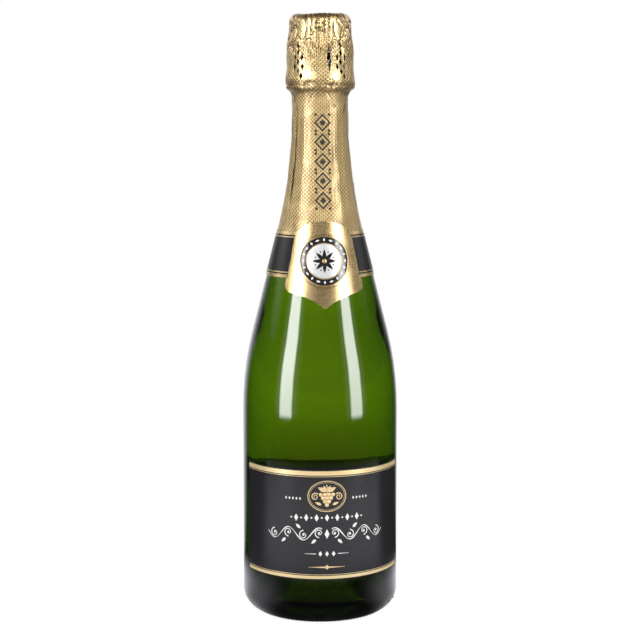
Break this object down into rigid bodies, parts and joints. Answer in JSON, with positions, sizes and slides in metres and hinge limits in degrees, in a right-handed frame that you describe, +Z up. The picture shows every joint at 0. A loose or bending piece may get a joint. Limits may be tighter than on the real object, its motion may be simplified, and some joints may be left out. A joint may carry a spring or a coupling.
{
  "type": "sparkling wine bottle",
  "caption": "Green glass sparkling wine bottle with a gold foil hood, wire cage over a mushroom cork, gold and black collar label with a shield, and a dark front label.",
  "frame": {"origin": "centre of the standing ring, on the surface that the bottle stands on", "axes": "+Z up along the bottle's axis, -Y towards the middle of the front label"},
  "size_m": [0.086, 0.0862, 0.3292],
  "materials": {
    "green_glass": "gloss",
    "wine": "gloss",
    "cork_agglomerate": "matte",
    "cork_natural": "matte",
    "plaque_gold": "gloss",
    "wire_steel": "satin",
    "gold_foil": "satin",
    "collar_paper": "satin",
    "label_paper": "satin"
  },
  "bodies": {
    "bottle": {"glass_bottle": "green_glass", "wine": "wine", "foil_skirt": "gold_foil", "collar_label": "collar_paper", "front_label": "label_paper"},
    "cork": {"cork_body": "cork_agglomerate", "cork_disc_upper": "cork_natural", "cork_disc_lower": "cork_natural"},
    "cage": {"cap_plaque": "plaque_gold", "cage_wire": "wire_steel", "belt_wire": "wire_steel"},
    "hood": {"foil_hood": "gold_foil"}
  },
  "joints": [
    {"name": "cork_pull", "type": "slide", "parent": "bottle", "child": "cork", "axis": [0, 0, 1], "range_m": [0, 0.045]},
    {"name": "cage_lift", "type": "slide", "parent": "cork", "child": "cage", "axis": [0, 0, 1], "range_m": [0, 0.045], "deforming": ["belt_wire", "cage_wire"]},
    {"name": "hood_lift", "type": "slide", "parent": "cage", "child": "hood", "axis": [0, 0, 1], "range_m": [0, 0.05]}
  ]
}
